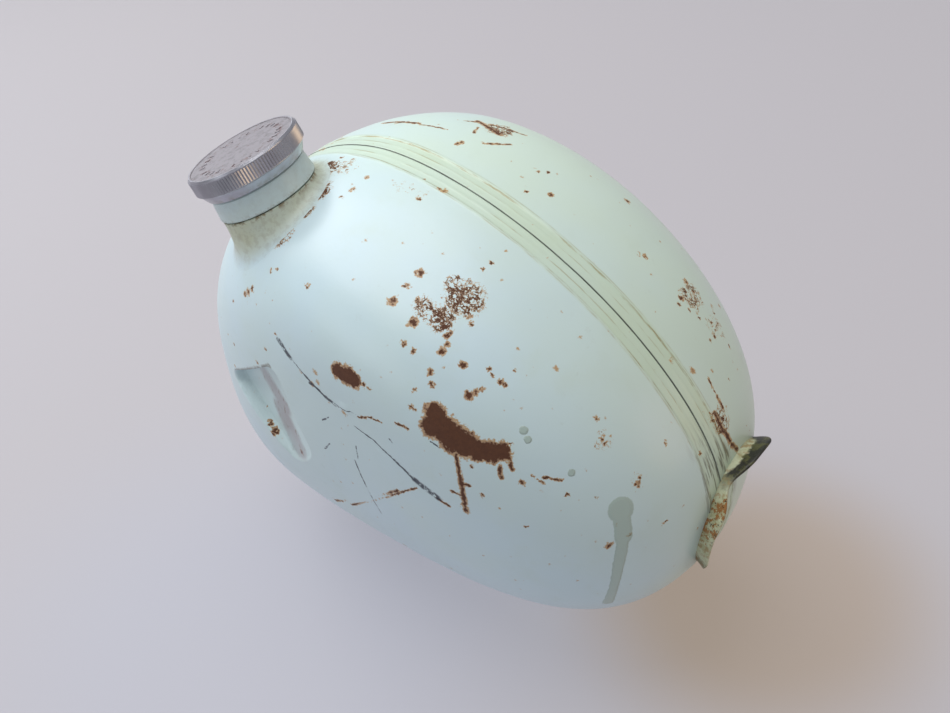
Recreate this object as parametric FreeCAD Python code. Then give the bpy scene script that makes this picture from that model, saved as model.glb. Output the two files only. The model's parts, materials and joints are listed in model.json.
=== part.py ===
"""Pressed-steel liquid tank: two dished halves lap-welded on an upright seam, a leaning filler neck
with a knurled screw cap, a flared saddle bracket at the rear and a bolt-down channel underneath.

Millimetres. +X points to the bracket end, +Z is up, the near shell is on -Y.
The origin is the middle of the base channel's four bolt holes, on the face that the tank rests on.
"""
import FreeCAD, Part
import math
import os

V = FreeCAD.Vector

# ---------------------------------------------------------------- driving dimensions
# Tank outline in the seam plane, from its widest point, and the half width across the seam.
TANK_FRONT = 113.5
TANK_REAR = 177.5
TANK_TOP = 124.0
TANK_BOTTOM = 95.0
TANK_HALF_WIDTH = 93.5
CROWN_X = 40.0            # the dished side's crown, from the widest point
CROWN_Z = 57.0
# Conic weight of each quarter: 0.707 is an ellipse and larger is squarer.
FULL_TOP_FRONT = 0.72
FULL_TOP_REAR = 0.55
FULL_BOTTOM_REAR = 1.21
FULL_BOTTOM_FRONT = 1.42
FULL_SIDE = 1.05

TANK_X = -30.0            # widest point from the base channel's middle
BASE_CLEAR = 14.0         # height of the tank's underside above the resting face

SHEET = 1.2               # wall of both shells
TRACK_WIDTH = 9.0         # flattened welding track beside the seam, on each shell
TRACK_SINK_NEAR = 0.7
TRACK_SINK_FAR = 0.35
LAP = TRACK_WIDTH - 1.0   # joggled tongue of the near shell inside the far shell
TONGUE_ROOT = TRACK_WIDTH - 2.0
SEAM_GAP = 0.25           # open line between the shells' edges

POCKET_STEP_DEPTH = 5.0   # recess stamped in the near shell, deepest along its upper edge
POCKET_END_DEPTH = 0.5
POCKET_CORNER_R = 6.0
POCKET_CORNERS = ((-59.0, 18.0), (-10.0, 53.0), (6.0, 4.0), (-10.0, -12.0))
CORNER_SPREAD = math.sqrt(2)  # a square corner moves out this much for each unit its sides move

NECK_X = -42.3            # where the neck's axis meets the skin, from the widest point
NECK_Y = -45.6
NECK_LEAN_FRONT = 23.8    # degrees from upright, towards the front
NECK_LEAN_SIDE = 7.2      # degrees from upright, towards the near side
COLLAR_HEIGHT = 4.4       # skin to the neck's shoulder line, on the axis
COLLAR_FLARE = 7.0
COLLAR_REACH = 15.0       # depth over which the collar flares before the skin trims it
COLLAR_STEPS = 8
NECK_BORE_R = 20.3        # the neck, its thread and the cap all follow from this bore
NECK_WALL = 1.7
NECK_SKIRT_HEIGHT = 10.7
NECK_DEPTH = 14.0         # neck tube inside the tank, below the shoulder line
NECK_CHAMFER = 0.6
TUBE_SLIP = 0.02          # press gap round the neck's tube and under the outlet's gauze
CREVICE = 0.5             # open line between the collar and the neck

THREAD_ROOT_R = NECK_BORE_R + NECK_WALL
THREAD_HEIGHT = 1.1
THREAD_PITCH = 4.0
THREAD_TURNS = 1.75
THREAD_WIDTH = 1.4
THREAD_CREST_SHARE = 0.55 # width of a ridge's crest over its root
THREAD_LEAD_IN = 1.2      # from the painted skirt to the ridge's start
THREAD_CREST_CLEAR = 0.8  # from the neck's ridge to the cap's wall
THREAD_ROOT_CLEAR = 0.7   # from the cap's ridge to the spout's wall
CAP_THREAD_TURNS = 1.25
SPOUT_HEIGHT = 9.6        # threaded spout above the painted skirt
FIT_EMBED = 0.05          # how far a thread ridge is let into its wall

NECK_FOOT_R = THREAD_ROOT_R + 3.1
NECK_TOP_R = THREAD_ROOT_R + 2.2
COLLAR_WAIST_R = NECK_FOOT_R - 0.5

CAP_BORE_R = THREAD_ROOT_R + THREAD_HEIGHT + THREAD_CREST_CLEAR
CAP_R = CAP_BORE_R + 4.6
CAP_LIP_R = CAP_BORE_R + 1.4
CAP_HEIGHT = 13.2
CAP_TOP_WALL = 2.0
CAP_LIFT_GAP = 0.6        # open line between the cap and the neck's painted skirt
CAP_CHAMFER = 0.6
SKIRT_HEIGHT = 4.6
KNURL_HEIGHT = 7.0
KNURL_RIDGES = 120
KNURL_DEPTH = 0.55
KNURL_DROP = 1.0          # from the top face to the knurling
KNURL_ROOTED = 3.6        # how far the knurled band goes into the cap's wall
CAP_RIM_WIDTH = 1.6
CAP_RIM_HEIGHT = 0.35
MARK_COUNT = 30
MARK_GROUP = 5            # one tick in each group is left out
MARK_RING_R = CAP_R - 8.5
MARK_LENGTH = 2.6
MARK_WIDTH = 0.9
MARK_HEIGHT = 0.25
MARK_ROOTED = 0.2

BAFFLE_THICK = 0.8
GASKET_THICK = 1.15
GASKET_WIDTH = 3.6
BAFFLE_CLEAR = 0.3        # from the baffle's edge to the cap's wall
GASKET_CLEAR = 0.6
RIVET_R = 2.0
RIVET_HEAD_R = 3.6
RIVET_HEAD = 1.2
RIVET_IN_TOP = 0.9        # shank let into the cap's top wall

STRAINER_RIM_WIDTH = 2.2
STRAINER_RIM_THICK = 1.0
STRAINER_DROP = 1.2       # from the spout's mouth to the rim
STRAINER_DEPTH = 46.0
STRAINER_WALL = 0.5
STRAINER_CLEAR = 0.4
STRAINER_TAPER = 3.0

BRACKET_Y = 16.0          # middle of the rear saddle bracket, from the seam plane
BRACKET_Z = -16.0         # and from the tank's widest line
BRACKET_YAW = 8.7         # degrees
BRACKET_PITCH = 8.0
BRACKET_ROOT_R = 26.0
BRACKET_WAIST_R = 30.0
BRACKET_LIP_R = 36.0
BRACKET_REACH = 1.5       # lip beyond the tank's rear end
BRACKET_DEPTH = 42.0      # how far the saddle is carried round the tank's rear end
BRACKET_WAIST_BACK = 8.0  # from the tank's rear end to the saddle's waist
BRACKET_WALL = 2.6
BRACKET_ARC = 205.0
BRACKET_NOTCH_R = 12.0    # dip of the lip over the seam
BRACKET_NOTCH_RISE = 7.0   # the dip's centre beyond the lip
BRACKET_NOTCH_SIDE = 36.0 # degrees round the bracket, from upright to the near side
BRACKET_EAR_R = 64.0      # rounding of the lip, which falls away to both ears
BRACKET_EAR_SHIFT = 6.0   # the rounding's middle, from the notch towards the far ear

CHANNEL_LENGTH = 150.0
CHANNEL_WIDTH = 46.0
CHANNEL_WALL = 2.5
CHANNEL_CORNER_R = 5.0
BOLT_EDGE_X = 15.0        # bolt hole to the channel's end
BOLT_EDGE_Y = 10.0        # bolt hole to the channel's side
BOLT_SPACING_X = CHANNEL_LENGTH - 2 * BOLT_EDGE_X
BOLT_SPACING_Y = CHANNEL_WIDTH - 2 * BOLT_EDGE_Y
BOLT_HOLE_R = 4.5         # clearance for M8
PAD_THICK = 3.0
PAD_LENGTH = 2 * BOLT_EDGE_X - 2.0

OUTLET_X = 62.0           # outlet boss in the far shell's underside, from the widest point
OUTLET_Y = 48.0
OUTLET_BORE_R = 7.6       # tapping drill for a G 3/8 pipe thread
OUTLET_WALL = 5.4
OUTLET_LENGTH = 20.0
OUTLET_BELOW = 7.0        # part of the boss's length under the skin
OUTLET_FLANGE_WIDTH = 4.0
OUTLET_FLANGE_RISE = 2.0  # from the boss's lower end to the flange
OUTLET_SPIGOT_WALL = 2.9
OUTLET_SPIGOT = 4.0       # thinner upper end that carries the gauze
GAUZE_HEIGHT = 38.0
GAUZE_WALL = 0.6

# ---------------------------------------------------------------- derived places
TANK_Z = BASE_CLEAR + TANK_BOTTOM
FAR_AWAY = 4.0 * TANK_REAR
TANK_ORIGIN = V(TANK_X, 0, TANK_Z)


def in_tank(x, y, z):
    """A point given from the tank's widest point, in the part's frame."""
    return TANK_ORIGIN + V(x, y, z)


# ---------------------------------------------------------------- the tank's skin
def quarter_outlines(inset):
    """Corner reach and fullness of each quarter of the outline: (x, z, conic weight)."""
    front = -(TANK_FRONT - inset)
    rear = TANK_REAR - inset
    top = TANK_TOP - inset
    bottom = -(TANK_BOTTOM - inset)
    return ((front, top, FULL_TOP_FRONT), (rear, top, FULL_TOP_REAR),
            (rear, bottom, FULL_BOTTOM_REAR), (front, bottom, FULL_BOTTOM_FRONT))


def skin_patch(x, z, fullness, y):
    """One eighth of the skin: a conic outline carried along a conic profile to the crown."""
    outline = ((0, z), (x, z), (x, 0))
    crown = in_tank(CROWN_X, y, CROWN_Z)
    poles = []
    weights = []
    for (px, pz), weight in zip(outline, (1.0, fullness, 1.0)):
        poles.append([in_tank(px, 0, pz), in_tank(px, y, pz), crown])
        weights.append([weight, weight * FULL_SIDE, weight])
    surface = Part.BSplineSurface()
    surface.buildFromPolesMultsKnots(poles, [3, 3], [3, 3], [0.0, 1.0], [0.0, 1.0],
                                     False, False, 2, 2, weights)
    return surface.toShape()


def egg(inset):
    """The whole tank form as one solid, drawn in by the inset all round."""
    faces = []
    for x, z, fullness in quarter_outlines(inset):
        for side in (-1, 1):
            faces.append(skin_patch(x, z, fullness, side * (TANK_HALF_WIDTH - inset)))
    shell = Part.makeShell(faces)
    shell.sewShape()
    solid = Part.makeSolid(Part.Shell(shell.Faces))
    if solid.Volume < 0:
        solid.reverse()
    return solid


def slab(y0, y1):
    """A block that holds everything between two planes across the tank."""
    box = Part.makeBox(2 * FAR_AWAY, y1 - y0, 2 * FAR_AWAY)
    box.translate(V(-FAR_AWAY, y0, -FAR_AWAY))
    return box


def half_space(point, normal):
    """A very large block on the side of a plane that its normal points to."""
    size = 2 * FAR_AWAY
    block = Part.makeBox(size, size, size, V(-size / 2, -size / 2, 0))
    block.Placement = FreeCAD.Placement(point, FreeCAD.Rotation(V(0, 0, 1), normal))
    return block


def skin_hit(start, direction):
    """Where a line from outside first meets the tank's outer skin."""
    line = Part.makeLine(start, start + direction * 2 * FAR_AWAY)
    hits = OUTER.common(line).Vertexes
    return min((v.Point for v in hits), key=lambda p: (p - start).Length)


def ring(outer, inner, y0, y1):
    """The wall between two insets, from one plane across the tank to another."""
    return outer.common(slab(y0, y1)).cut(inner)


OUTER = egg(0.0)
INNER = egg(SHEET)
TONGUE_INNER = egg(2 * SHEET)


# ---------------------------------------------------------------- neck frame
def neck_foot():
    """Where the neck's axis meets the skin."""
    return skin_hit(in_tank(NECK_X, NECK_Y, FAR_AWAY), V(0, 0, -1))


def neck_axis():
    """Direction of the neck, out of the tank."""
    front = math.tan(math.radians(NECK_LEAN_FRONT))
    side = math.tan(math.radians(NECK_LEAN_SIDE))
    return V(-front, -side, 1).normalize()


NECK_AXIS = neck_axis()
SHOULDER = neck_foot() + NECK_AXIS * COLLAR_HEIGHT
NECK_PLACE = FreeCAD.Placement(SHOULDER, FreeCAD.Rotation(V(0, 0, 1), NECK_AXIS))


def turned(points, place):
    """A solid of revolution about a placement's own Z axis, from (radius, height) points."""
    corners = [V(r, 0, h) for r, h in points]
    face = Part.Face(Part.makePolygon(corners + corners[:1]))
    solid = face.revolve(V(0, 0, 0), V(0, 0, 1), 360)
    solid.Placement = place.multiply(solid.Placement)
    return solid


# ---------------------------------------------------------------- shells
def pocket_corner_points(grow):
    """The pocket's outline, grown outwards, as (x, z) corners from the widest point."""
    middle_x = sum(x for x, z in POCKET_CORNERS) / len(POCKET_CORNERS)
    middle_z = sum(z for x, z in POCKET_CORNERS) / len(POCKET_CORNERS)
    points = []
    for x, z in POCKET_CORNERS:
        out = V(x - middle_x, 0, z - middle_z)
        points.append(V(x, 0, z) + out.normalize() * grow * CORNER_SPREAD)
    return points


def pocket_floor_corners():
    """Three points of the pocket's flat floor, sunk below the skin."""
    depths = (POCKET_STEP_DEPTH, POCKET_STEP_DEPTH, POCKET_END_DEPTH)
    corners = (POCKET_CORNERS[0], POCKET_CORNERS[1], POCKET_CORNERS[3])
    points = []
    for (x, z), depth in zip(corners, depths):
        skin = skin_hit(in_tank(x, -FAR_AWAY, z), V(0, 1, 0))
        points.append(skin + V(0, depth, 0))
    return points


def pocket_block(grow):
    """The stamping tool that makes the pocket, from its floor outwards."""
    corners = [in_tank(p.x, -FAR_AWAY / 2, p.z) for p in pocket_corner_points(grow)]
    wire = Part.makePolygon(corners + corners[:1])
    prism = Part.Face(wire).extrude(V(0, FAR_AWAY / 2, 0))
    edges = [e for e in prism.Edges if abs(e.tangentAt(e.FirstParameter).y) > 0.99]
    prism = prism.makeFillet(POCKET_CORNER_R + grow, edges)
    a, b, c = pocket_floor_corners()
    normal = (b - a).cross(c - a).normalize()
    if normal.y < 0:
        normal = normal * -1
    return prism.cut(half_space(a + V(0, grow, 0), normal))


def neck_hole():
    """The round hole in the near shell that the neck passes through, eased round its foot."""
    seat = NECK_FOOT_R + CREVICE
    return turned([(0, -4 * NECK_DEPTH), (THREAD_ROOT_R, -4 * NECK_DEPTH), (THREAD_ROOT_R, -CREVICE),
                   (seat, -CREVICE), (seat, 2 * NECK_DEPTH), (0, 2 * NECK_DEPTH)], NECK_PLACE)


def near_shell():
    side = ring(OUTER, INNER, -FAR_AWAY, -TRACK_WIDTH)
    recess = egg(TRACK_SINK_NEAR)
    track = ring(recess, INNER, -TRACK_WIDTH, -TONGUE_ROOT)
    root = ring(recess, TONGUE_INNER, -TONGUE_ROOT, 0)
    tongue = ring(INNER, TONGUE_INNER, 0, LAP)
    hollow = pocket_block(0)
    tray = pocket_block(SHEET).common(OUTER).common(slab(-FAR_AWAY, -TRACK_WIDTH)).cut(hollow)
    side = side.cut(hollow).fuse(tray)
    return side.fuse([track, root, tongue]).cut(neck_hole())


def far_shell():
    side = ring(OUTER, INNER, TRACK_WIDTH, FAR_AWAY)
    track = ring(egg(TRACK_SINK_FAR), INNER, SEAM_GAP, TRACK_WIDTH)
    return side.fuse(track).cut(outlet_hole())


# ---------------------------------------------------------------- filler neck
def collar_radius(depth):
    """The collar's outer radius, from its waist to a gentle flare where it meets the skin."""
    return COLLAR_WAIST_R + COLLAR_FLARE * (depth / COLLAR_REACH) ** 2


def neck_collar():
    """Flared collar drawn up from the shell to the neck's foot."""
    bore = (THREAD_ROOT_R, -CREVICE)
    points = [bore]
    for i in range(COLLAR_STEPS + 1):
        depth = COLLAR_REACH * i / COLLAR_STEPS
        points.append((collar_radius(depth), -CREVICE - depth))
    points.append((THREAD_ROOT_R, -CREVICE - COLLAR_REACH))
    return turned(points, NECK_PLACE).cut(OUTER)


def filler_neck():
    """Painted skirt with the threaded spout above it and a plain tube into the tank."""
    top = NECK_SKIRT_HEIGHT + SPOUT_HEIGHT
    edge = NECK_CHAMFER
    tube = THREAD_ROOT_R - TUBE_SLIP
    points = [(NECK_BORE_R, -NECK_DEPTH), (tube, -NECK_DEPTH), (tube, 0),
              (NECK_FOOT_R - edge, 0), (NECK_FOOT_R, edge),
              (NECK_TOP_R, NECK_SKIRT_HEIGHT - edge), (NECK_TOP_R - edge, NECK_SKIRT_HEIGHT),
              (THREAD_ROOT_R, NECK_SKIRT_HEIGHT), (THREAD_ROOT_R, top - edge),
              (THREAD_ROOT_R - edge, top), (NECK_BORE_R + edge / 2, top), (NECK_BORE_R, top - edge / 2)]
    return turned(points, NECK_PLACE)


THREAD_START = NECK_SKIRT_HEIGHT + THREAD_LEAD_IN


def thread_ridge(wall_r, crest_r, start, turns):
    """A helical ridge between a wall and a crest radius, placed on the neck's axis."""
    mid = (wall_r + crest_r) / 2
    helix = Part.makeHelix(THREAD_PITCH, THREAD_PITCH * turns, mid)
    half = THREAD_WIDTH / 2
    crest_half = half * THREAD_CREST_SHARE
    corners = [V(wall_r, 0, -half), V(crest_r, 0, -crest_half), V(crest_r, 0, crest_half),
               V(wall_r, 0, half)]
    profile = Part.makePolygon(corners + corners[:1])
    ridge = Part.Wire(helix.Edges).makePipeShell([profile], True, True)
    ridge.Placement = NECK_PLACE.multiply(FreeCAD.Placement(V(0, 0, start), FreeCAD.Rotation()))
    return ridge


def neck_thread():
    """Ridge rolled round the spout."""
    return thread_ridge(THREAD_ROOT_R - FIT_EMBED, THREAD_ROOT_R + THREAD_HEIGHT, THREAD_START, THREAD_TURNS)


def strainer_rim():
    """Ring that hangs the strainer in the spout."""
    top = NECK_SKIRT_HEIGHT + SPOUT_HEIGHT - STRAINER_DROP
    outer = NECK_BORE_R
    return turned([(outer - STRAINER_RIM_WIDTH, top - STRAINER_RIM_THICK),
                   (outer, top - STRAINER_RIM_THICK), (outer, top),
                   (outer - STRAINER_RIM_WIDTH, top)], NECK_PLACE)


def strainer_basket():
    """Gauze thimble below the rim, closed at the bottom."""
    top = NECK_SKIRT_HEIGHT + SPOUT_HEIGHT - STRAINER_DROP - STRAINER_RIM_THICK
    low = top - STRAINER_DEPTH
    outer = NECK_BORE_R - STRAINER_CLEAR
    foot = outer - STRAINER_TAPER
    wall = STRAINER_WALL
    return turned([(0, low), (foot, low), (outer, top), (outer - wall, top),
                   (foot - wall, low + wall), (0, low + wall)], NECK_PLACE)


# ---------------------------------------------------------------- cap
CAP_BOTTOM = NECK_SKIRT_HEIGHT + CAP_LIFT_GAP
CAP_TOP = CAP_BOTTOM + CAP_HEIGHT
CAP_CEILING = CAP_TOP - CAP_TOP_WALL


def knurl_band():
    """Straight knurling: a toothed outline drawn up to the band's height."""
    low = CAP_TOP - CAP_RIM_HEIGHT - KNURL_DROP - KNURL_HEIGHT
    points = []
    for i in range(2 * KNURL_RIDGES):
        angle = math.pi * i / KNURL_RIDGES
        radius = CAP_R if i % 2 == 0 else CAP_R - KNURL_DEPTH
        points.append(V(radius * math.cos(angle), radius * math.sin(angle), low))
    band = Part.Face(Part.makePolygon(points + points[:1])).extrude(V(0, 0, KNURL_HEIGHT))
    bore = Part.makeCylinder(CAP_R - KNURL_ROOTED, KNURL_HEIGHT, V(0, 0, low))
    band = band.cut(bore)
    band.Placement = NECK_PLACE
    return band


def cap_marks():
    """Generic raised ticks round the top face."""
    face = CAP_TOP - CAP_RIM_HEIGHT
    ticks = []
    for i in range(MARK_COUNT):
        if i % MARK_GROUP == 0:
            continue
        tick = Part.makeBox(MARK_LENGTH, MARK_WIDTH, MARK_HEIGHT + MARK_ROOTED)
        tick.translate(V(MARK_RING_R - MARK_LENGTH / 2, -MARK_WIDTH / 2, face - MARK_ROOTED))
        tick.rotate(V(0, 0, 0), V(0, 0, 1), 360.0 * i / MARK_COUNT)
        ticks.append(tick)
    marks = Part.makeCompound(ticks)
    marks.Placement = NECK_PLACE.multiply(marks.Placement)
    return marks


def cap_shell():
    """Knurled screw cap: tapering skirt, straight knurled band and a flat top in a thin rim."""
    band_r = CAP_R - KNURL_DEPTH
    skirt_top = CAP_BOTTOM + SKIRT_HEIGHT
    face = CAP_TOP - CAP_RIM_HEIGHT
    edge = CAP_CHAMFER
    rim_inner = band_r - CAP_RIM_WIDTH
    points = [(CAP_BORE_R, CAP_BOTTOM), (CAP_LIP_R, CAP_BOTTOM), (band_r - edge, skirt_top - edge),
              (band_r, skirt_top), (band_r, face - edge), (band_r - edge, CAP_TOP),
              (rim_inner, CAP_TOP), (rim_inner - edge / 2, face),
              (0, face), (0, CAP_CEILING), (CAP_BORE_R, CAP_CEILING)]
    body = turned(points, NECK_PLACE)
    cap = body.fuse([knurl_band()] + cap_marks().Solids)
    return cap.cut(rivet_blank(0.0))


def cap_thread():
    """Ridge inside the cap, midway between the turns of the neck's ridge."""
    start = THREAD_START + THREAD_PITCH / 2
    return thread_ridge(CAP_BORE_R + FIT_EMBED, THREAD_ROOT_R + THREAD_ROOT_CLEAR, start, CAP_THREAD_TURNS)


def cap_baffle():
    """Thin disc riveted under the cap's top, over the gasket."""
    low = CAP_CEILING - BAFFLE_THICK
    outer = CAP_BORE_R - BAFFLE_CLEAR
    return turned([(RIVET_R, low), (outer, low), (outer, CAP_CEILING), (RIVET_R, CAP_CEILING)], NECK_PLACE)


def cap_gasket():
    """Flat ring that seals on the spout's mouth; it doesn't turn with the cap."""
    top = CAP_CEILING - BAFFLE_THICK
    outer = CAP_BORE_R - GASKET_CLEAR
    return turned([(outer - GASKET_WIDTH, top - GASKET_THICK), (outer, top - GASKET_THICK),
                   (outer, top), (outer - GASKET_WIDTH, top)], NECK_PLACE)


def rivet_blank(head):
    """Rivet shank, with a flush top and a round head below the baffle."""
    low = CAP_CEILING - BAFFLE_THICK
    top = CAP_CEILING + RIVET_IN_TOP
    shank = turned([(0, low), (RIVET_R, low), (RIVET_R, top), (0, top)], NECK_PLACE)
    if head == 0.0:
        return shank
    crown = turned([(0, low - head), (RIVET_R, low - head), (RIVET_HEAD_R, low - head / 2),
                    (RIVET_HEAD_R, low), (0, low)], NECK_PLACE)
    return shank.fuse(crown)


def cap_rivet():
    return rivet_blank(RIVET_HEAD)


# ---------------------------------------------------------------- rear saddle bracket
def rear_bracket():
    """Half-round flared saddle, fitted to the tank's rear end, with an ear at each side."""
    lip = TANK_REAR + BRACKET_REACH
    root = TANK_REAR - BRACKET_DEPTH
    inner = [(BRACKET_ROOT_R, root), (BRACKET_WAIST_R, TANK_REAR - BRACKET_WAIST_BACK), (BRACKET_LIP_R, lip)]
    wall = BRACKET_WALL
    outer = [(r + wall, h) for r, h in reversed(inner)]
    corners = [V(r, 0, h) for r, h in inner + outer]
    face = Part.Face(Part.makePolygon(corners + corners[:1]))
    saddle = face.revolve(V(0, 0, 0), V(0, 0, 1), BRACKET_ARC)
    saddle.rotate(V(0, 0, 0), V(0, 0, 1), -BRACKET_ARC / 2)
    dip = V(0, 0, lip + BRACKET_NOTCH_RISE)
    notch = Part.makeCylinder(BRACKET_NOTCH_R, 2 * BRACKET_LIP_R, dip, V(1, 0, 0))
    rounding = Part.makeCylinder(BRACKET_EAR_R, 4 * BRACKET_LIP_R,
                                 V(-2 * BRACKET_LIP_R, -BRACKET_EAR_SHIFT, lip - BRACKET_EAR_R), V(1, 0, 0))
    saddle = saddle.cut(notch).common(rounding)
    saddle.rotate(V(0, 0, 0), V(0, 0, 1), 180 + BRACKET_NOTCH_SIDE)
    saddle.rotate(V(0, 0, 0), V(0, 1, 0), 90)
    saddle.rotate(V(TANK_REAR, 0, 0), V(0, 1, 0), BRACKET_PITCH)
    saddle.rotate(V(TANK_REAR, 0, 0), V(0, 0, 1), BRACKET_YAW)
    saddle.translate(in_tank(0, BRACKET_Y, BRACKET_Z))
    return saddle.cut(OUTER)


# ---------------------------------------------------------------- base
def bolt_points():
    """The four bolt holes' places on the resting face."""
    for sx in (-1, 1):
        for sy in (-1, 1):
            yield V(sx * BOLT_SPACING_X / 2, sy * BOLT_SPACING_Y / 2, 0)


def folded_block(length, width, low, radius):
    """A tall block with its two lower long edges rounded, centred over the origin."""
    block = Part.makeBox(length, width, TANK_Z - low, V(-length / 2, -width / 2, low))
    folds = [e for e in block.Edges if e.BoundBox.ZMax < low + radius / 2 and e.Length > length / 2
             and abs(e.tangentAt(e.FirstParameter).x) > 0.99]
    return block.makeFillet(radius, folds)


def base_channel():
    """Folded channel welded under the seam, its flanges trimmed to the tank's underside."""
    wall = CHANNEL_WALL
    outer = folded_block(CHANNEL_LENGTH, CHANNEL_WIDTH, PAD_THICK, CHANNEL_CORNER_R)
    hollow = folded_block(CHANNEL_LENGTH + 2 * wall, CHANNEL_WIDTH - 2 * wall, PAD_THICK + wall,
                          CHANNEL_CORNER_R - wall)
    channel = outer.cut(hollow).cut(OUTER)
    for point in bolt_points():
        channel = channel.cut(Part.makeCylinder(BOLT_HOLE_R, TANK_Z, point))
    return channel


def base_pads():
    """Rubber pads under both ends of the channel, round the bolt holes."""
    pads = []
    width = CHANNEL_WIDTH - 2 * CHANNEL_CORNER_R
    for sx in (-1, 1):
        pad = Part.makeBox(PAD_LENGTH, width, PAD_THICK,
                           V(sx * BOLT_SPACING_X / 2 - PAD_LENGTH / 2, -width / 2, 0))
        for point in bolt_points():
            pad = pad.cut(Part.makeCylinder(BOLT_HOLE_R, PAD_THICK, point))
        pads.append(pad)
    return Part.makeCompound(pads)


# ---------------------------------------------------------------- outlet
def outlet_low():
    """Middle of the outlet boss's lower end, under the far shell."""
    skin = skin_hit(in_tank(OUTLET_X, OUTLET_Y, -FAR_AWAY), V(0, 0, 1))
    return skin - V(0, 0, OUTLET_BELOW)


def outlet_drum(radius, start, height):
    """A cylinder on the outlet's axis, from a height over the boss's lower end."""
    return Part.makeCylinder(radius, height, outlet_low() + V(0, 0, start))


def outlet_hole():
    """The round hole in the far shell that the boss fills."""
    return outlet_drum(OUTLET_BORE_R + OUTLET_WALL, 0, OUTLET_LENGTH)


def outlet_boss():
    """Turned boss let into the shell, tapped from below, with a flange outside."""
    radius = OUTLET_BORE_R + OUTLET_WALL
    boss = outlet_drum(radius, 0, OUTLET_LENGTH - OUTLET_SPIGOT)
    spigot = outlet_drum(OUTLET_BORE_R + OUTLET_SPIGOT_WALL, 0, OUTLET_LENGTH)
    flange = outlet_drum(radius + OUTLET_FLANGE_WIDTH, OUTLET_FLANGE_RISE, OUTLET_LENGTH).cut(OUTER)
    return boss.fuse([spigot, flange]).cut(outlet_drum(OUTLET_BORE_R, 0, OUTLET_LENGTH))


def outlet_gauze():
    """Gauze thimble slipped over the boss's upper end, inside the tank."""
    inner_r = OUTLET_BORE_R + OUTLET_SPIGOT_WALL + TUBE_SLIP
    start = OUTLET_LENGTH - OUTLET_SPIGOT
    outer = outlet_drum(inner_r + GAUZE_WALL, start, GAUZE_HEIGHT)
    return outer.cut(outlet_drum(inner_r, start, GAUZE_HEIGHT - GAUZE_WALL))


NODES = {
    "near_shell": near_shell,
    "far_shell": far_shell,
    "neck_collar": neck_collar,
    "filler_neck": filler_neck,
    "neck_thread": neck_thread,
    "strainer_rim": strainer_rim,
    "strainer_basket": strainer_basket,
    "cap_shell": cap_shell,
    "cap_thread": cap_thread,
    "cap_gasket": cap_gasket,
    "cap_baffle": cap_baffle,
    "cap_rivet": cap_rivet,
    "rear_bracket": rear_bracket,
    "base_channel": base_channel,
    "base_pads": base_pads,
    "outlet_boss": outlet_boss,
    "outlet_gauze": outlet_gauze,
}


def main():
    os.makedirs("parts", exist_ok=True)
    for name, build in NODES.items():
        shape = build()
        shape.exportStep(os.path.join("parts", name + ".step"))
        box = shape.BoundBox
        print(name, len(shape.Solids), shape.isValid(), round(shape.Volume, 1),
              [round(v, 1) for v in (box.XMin, box.XMax, box.YMin, box.YMax, box.ZMin, box.ZMax)])
    print("neck shoulder", SHOULDER, "axis", NECK_AXIS)


main()
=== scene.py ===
"""Visual model of a pressed-steel liquid tank: aged pale-green enamel shells, knurled cap, rear saddle."""
import json
import math
from functools import reduce

import bmesh
import bpy
import numpy as np
from mathutils import Matrix, Vector, noise
from mathutils.bvhtree import BVHTree


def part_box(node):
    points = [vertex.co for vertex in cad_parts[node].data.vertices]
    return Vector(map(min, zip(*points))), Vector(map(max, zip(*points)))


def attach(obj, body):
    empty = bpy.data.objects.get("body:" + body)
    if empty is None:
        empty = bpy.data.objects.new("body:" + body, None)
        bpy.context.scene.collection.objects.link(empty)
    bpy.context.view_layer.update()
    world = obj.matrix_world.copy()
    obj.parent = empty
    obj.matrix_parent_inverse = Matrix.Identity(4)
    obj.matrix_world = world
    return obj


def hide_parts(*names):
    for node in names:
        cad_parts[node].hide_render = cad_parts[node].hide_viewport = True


bl_info = {
    "name": "Pressed-steel liquid tank",
    "version": (1, 0, 0),
    "blender": (4, 5, 0),
    "location": "3D View > Sidebar > Tank",
    "description": "Builds the shells, collar, bracket, finishes and stage round the tank's frame",
    "category": "Object",
}

MM = 0.001
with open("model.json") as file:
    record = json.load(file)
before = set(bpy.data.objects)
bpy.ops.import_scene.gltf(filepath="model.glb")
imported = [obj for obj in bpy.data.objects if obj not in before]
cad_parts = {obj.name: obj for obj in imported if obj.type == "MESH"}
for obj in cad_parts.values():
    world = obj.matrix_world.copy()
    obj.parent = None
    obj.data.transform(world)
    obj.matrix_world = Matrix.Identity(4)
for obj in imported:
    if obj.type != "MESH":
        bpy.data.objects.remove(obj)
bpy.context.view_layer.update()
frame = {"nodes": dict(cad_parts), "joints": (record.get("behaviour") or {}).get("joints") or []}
NODES = frame["nodes"]

# ---------------------------------------------------------------- places taken from the frame
NEAR_LOW, NEAR_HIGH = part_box("near_shell")
FAR_LOW, FAR_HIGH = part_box("far_shell")
CAP_JOINT = next(j for j in frame["joints"] if j["name"] == "cap_turn")
NECK_AXIS = Vector(CAP_JOINT["axis"]).normalized()
JOINT_HEIGHT = 15.0 * MM          # the cap joint's point above the neck's shoulder line
SHOULDER = Vector(CAP_JOINT["pos_m"]) - NECK_AXIS * JOINT_HEIGHT

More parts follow.
